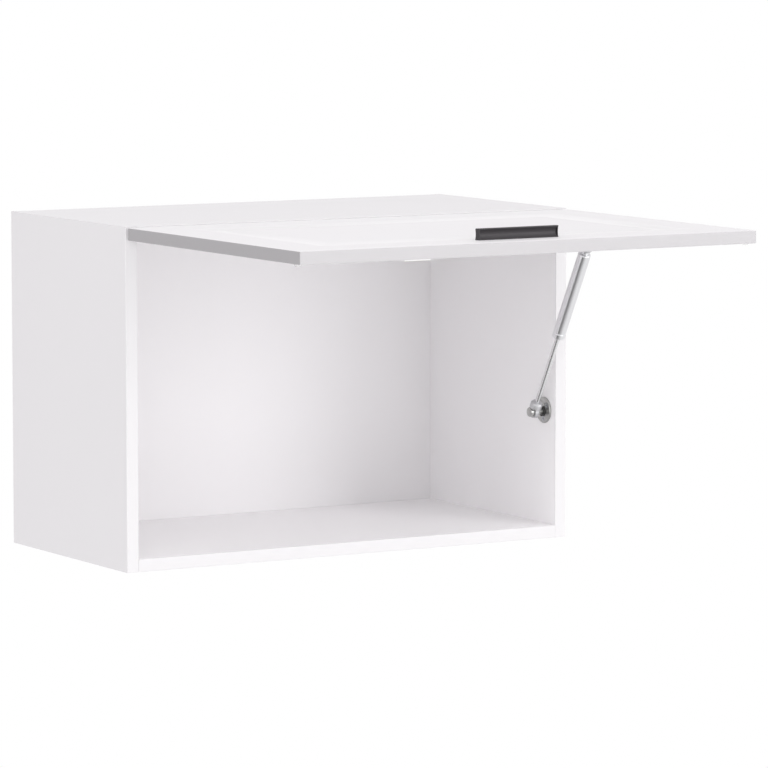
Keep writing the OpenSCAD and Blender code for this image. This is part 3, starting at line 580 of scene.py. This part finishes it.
guide = Finish("guide_moulding")
guide.feed("Base Color", guide.place.noise(size=0.002).colour(GUIDE_BLACK, GUIDE_GREY))
guide.feed("Roughness", guide.place.noise(size=0.0005).between(0.4, 0.6))
turned("strut_guide_moulded", GUIDE_RINGS, tube_place, guide, "strut_rod_guide",
       closed=True)


# Strut sockets
# Two ball sockets, die-cast in zinc and left with their dull skin, one screwed on the rod's
# lower end and one on the cylinder's neck. Each holds the ball of a stud.
CAST_PALE = (0.66, 0.66, 0.67, 1)
CAST_DARK = (0.52, 0.52, 0.54, 1)
CAST_SKIN_SIZE = 0.0012
CAST_ROUND = 0.0006

cast = Finish("die_cast_zinc", Metallic=1.0)
skin_marks = cast.place.noise(CAST_SKIN_SIZE, detail=3, rough=0.6)
cast.feed("Base Color", skin_marks.colour(CAST_DARK, CAST_PALE))
cast.feed("Roughness", skin_marks.between(0.46, 0.61))
cast.relief(skin_marks, depth=0.00003)
for socket in ("strut_upper_socket", "strut_lower_socket"):
    eased(socket, cast, CAST_ROUND, segments=2)


# Strut foot and bracket
# The lower ball is on a turned stud with a round cap, on a round steel plate that is screwed to the
# right side. A black collar round the stud's root stands in for the shade and dark reflection there,
# as painted shade. The upper ball is riveted to a bracket screwed to the flap.
STEEL_PALE = (0.56, 0.56, 0.55, 1)
STEEL_DARK = (0.36, 0.36, 0.35, 1)
BLOOM_SIZE = 0.006
PLATE_EASE = 0.0004
# Radius, height along the stud and easing of each ring, in millimetres
STUD_RINGS = [
    (0, -7.45, 0), (3.7, -7.45, 0.2), (4.0, -7.8, 0.2), (5.75, -7.8, 1.2), (5.75, -2.8, 0.4),
    (2.86, -2.8, 0), (3.7, -1.5, 0), (4, 0, 0), (3.7, 1.5, 0), (2.86, 2.8, 0), (4, 2.8, 0.3),
    (4, 11.7, 0.3), (0, 11.7, 0),
]
SHADE_COLLAR_RINGS = [(4.3, 0.02, 0), (6.2, 0.02, 0), (6.2, 1.6, 0.4), (4.3, 1.6, 0)]
stud_place = Matrix.Translation(strut_foot) @ Matrix.Rotation(math.pi / 2, 4, "Y")
plate_spot = Vector((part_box("strut_foot_plate")[0].x, strut_foot.y, strut_foot.z))
shade_collar_place = Matrix.Translation(plate_spot) @ Matrix.Rotation(-math.pi / 2, 4, "Y")

steel = Finish("plated_steel", Metallic=1.0)
bloom = steel.place.noise(BLOOM_SIZE, detail=3, rough=0.6)
steel.feed("Base Color", bloom.colour(STEEL_DARK, STEEL_PALE))
steel.feed("Roughness", bloom.between(0.28, 0.42))
steel.relief(steel.place.noise(size=0.0009), depth=0.000012)
turned("strut_stud_turned", STUD_RINGS, stud_place, steel, "strut_lower_stud")
for pressed in ("strut_foot_plate", "strut_head_bracket", "strut_head_ball"):
    eased(pressed, steel, PLATE_EASE, segments=2)
for screws in ("strut_foot_screws", "strut_head_screws"):
    eased(screws, zinc, SCREW_EASE)
# Painted shade: a black collar put where the stud's root only lies in shade and dark reflection
turned("strut_foot_pad", SHADE_COLLAR_RINGS, shade_collar_place, guide, body="carcass",
       closed=True)


# Surround and floor
# A white studio: an even surround, and a floor at a kitchen floor's depth under the wall unit.
# The floor takes the cabinet's shadow close by, fades into the surround further out, and is
# clear from below.
FLOOR_Z = -1.6
FLOOR_HALF = 60
FLOOR_WHITE = (0.85, 0.85, 0.85, 1)
FADE_FROM = 2.2
FADE_TO = 5.0
NEAR_FADE = 0.6
SURROUND = 0.79
PLAIN_WHITE = (1, 1, 1, 1)


def seen_directly(tree):
    """1 for the rays that show the background: straight, mirrored or through glass"""
    path = tree.nodes.new("ShaderNodeLightPath")
    camera_ray, mirrored, through = [
        Wire(tree, path.outputs[f"Is {kind} Ray"]) for kind in ("Camera", "Glossy", "Transmission")
    ]
    rays = camera_ray + mirrored + through
    return rays.maths("MINIMUM", rays, 1.0)


def staged(name, shape):
    """Makes a studio object from a bmesh, with an empty material"""
    mesh = bpy.data.meshes.new(name)
    shape.to_mesh(mesh)
    shape.free()
    prop = bpy.data.objects.new(name, mesh)
    bpy.context.scene.collection.objects.link(prop)
    paint = bpy.data.materials.new(name + "_paint")
    paint.use_nodes = True
    paint.node_tree.nodes.clear()
    mesh.materials.append(paint)
    return prop


def shown(tree, surface, kind="Material"):
    """Ends a material or world in this surface"""
    tree.links.new(surface.socket, tree.nodes.new("ShaderNodeOutput" + kind).inputs["Surface"])


world = bpy.data.worlds.new("surround")
bpy.context.scene.world = world
world.use_nodes = True
sky = world.node_tree
sky.nodes.clear()
strength = seen_directly(sky).ramp(0, 1, SURROUND, 1.0)
shown(sky, strength.add("Background", (), {"Color": PLAIN_WHITE, "Strength": strength}), "World")

shape = bmesh.new()
bmesh.ops.create_grid(shape, x_segments=1, y_segments=1, size=FLOOR_HALF,
                      matrix=Matrix.Translation((0, 0, FLOOR_Z)))
floor = staged("studio_floor", shape)
tree = floor.active_material.node_tree
seen = seen_directly(tree)
place = Wire(tree, tree.nodes.new("ShaderNodeTexCoord").outputs["Object"])
distance = place.add("VectorMath", {"operation": "LENGTH"}, {0: place}, "Value")
fade = distance.ramp(FADE_FROM, FADE_TO, NEAR_FADE, 1.0)
paint = place.add("BsdfDiffuse", (), {"Color": FLOOR_WHITE})
white = place.add("Emission", (), {"Color": PLAIN_WHITE, "Strength": 1.0})
clear = place.add("BsdfTransparent")
top_side = place.add("MixShader", (), {0: seen * fade, 1: paint, 2: white})
below = Wire(tree, tree.nodes.new("ShaderNodeNewGeometry").outputs["Backfacing"])
shown(tree, place.add("MixShader", (), {0: below, 1: top_side, 2: clear}))


# Lamps
# Square soft boxes, all turned to the cabinet's middle: each has its place, side and power. The
# front and high ones reach into the cabinet; the left, top and low ones even out its outside.
LAMPS = {
    "front_right": ((4.0, -6.4, 1.44), 3.2, 136),
    "front_left": ((-3.4, -3.6, 1.0), 2.5, 26),
    "left": ((-4.0, 0.2, 0.8), 2.5, 32),
    "low": ((0.5, -4.0, -0.9), 1.5, 15),
    "top": ((0.0, -0.3, 3.5), 3.0, 32),
    "high_right": ((1.8, -3.6, 2.3), 2.0, 13),
    "high_left": ((-2.4, -3.4, 2.4), 2.0, 8),
}
LAMP_AIM = Vector((0, -0.25, 0))

for name, (spot, side, power) in LAMPS.items():
    lamp = bpy.data.lights.new(name + "_lamp", "AREA")
    lamp.shape = "SQUARE"
    lamp.size = side
    lamp.energy = power
    lamp_object = bpy.data.objects.new(name + "_lamp", lamp)
    lamp_object.location = spot
    lamp_object.rotation_euler = (LAMP_AIM - Vector(spot)).to_track_quat("-Z", "Y").to_euler()
    bpy.context.scene.collection.objects.link(lamp_object)


# Reflected card
# A card beside the strut, dark at one edge and fading to white at the other. Only its reflection
# is seen, as the dark core of bright metal.
CARD_AIM = Vector((0.27, -0.34, 0.09))
CARD_SPOT = CARD_AIM + Vector((-0.30, -0.62, -0.78))
CARD_HALF = (1.0, 0.6)
CARD_DARK = 0.1
CARD_FADE = (-0.5, 0.55)

shape = bmesh.new()
bmesh.ops.create_grid(shape, x_segments=1, y_segments=1, size=1)
card_turn = (CARD_AIM - CARD_SPOT).to_track_quat("Z", "Y").to_matrix().to_4x4()
bmesh.ops.transform(
    shape, verts=shape.verts,
    matrix=Matrix.Translation(CARD_SPOT) @ card_turn @ Matrix.Diagonal((*CARD_HALF, 1, 1)),
)
card = staged("studio_card", shape)
card.visible_camera = card.visible_diffuse = card.visible_shadow = False
tree = card.active_material.node_tree
place = Wire(tree, tree.nodes.new("ShaderNodeTexCoord").outputs["Object"])
card_side = card_turn.to_3x3() @ Vector((1, 0, 0))
reach = place.add("VectorMath", {"operation": "DOT_PRODUCT"}, {0: place, 1: card_side}, "Value")
reach = reach - card_side.dot(CARD_SPOT)
shade = reach.ramp(*CARD_FADE, 1.0, CARD_DARK)
shown(tree, place.add("Emission", (), {"Color": PLAIN_WHITE, "Strength": shade}))


# Camera
# A long lens, far off and a little above the cabinet's top, that looks down on it from the left.
# Its place, turn and length come from a fit to the cabinet's edges and corners.
CAMERA_SPOT = (-2.84699, -5.16939, 0.60809)
CAMERA_PITCH = math.radians(90 - 6.1193)
CAMERA_TURN = math.radians(-30.670)
LENS = 225.623
SENSOR = 36

eye = bpy.data.cameras.new("camera")
eye.lens = LENS
eye.sensor_width = SENSOR
eye.clip_end = FLOOR_HALF * 5
camera = bpy.data.objects.new("camera", eye)
camera.location = CAMERA_SPOT
camera.rotation_euler = (CAMERA_PITCH, 0, CAMERA_TURN)
bpy.context.scene.collection.objects.link(camera)
bpy.context.scene.camera = camera
bpy.context.scene.view_settings.view_transform = "Standard"
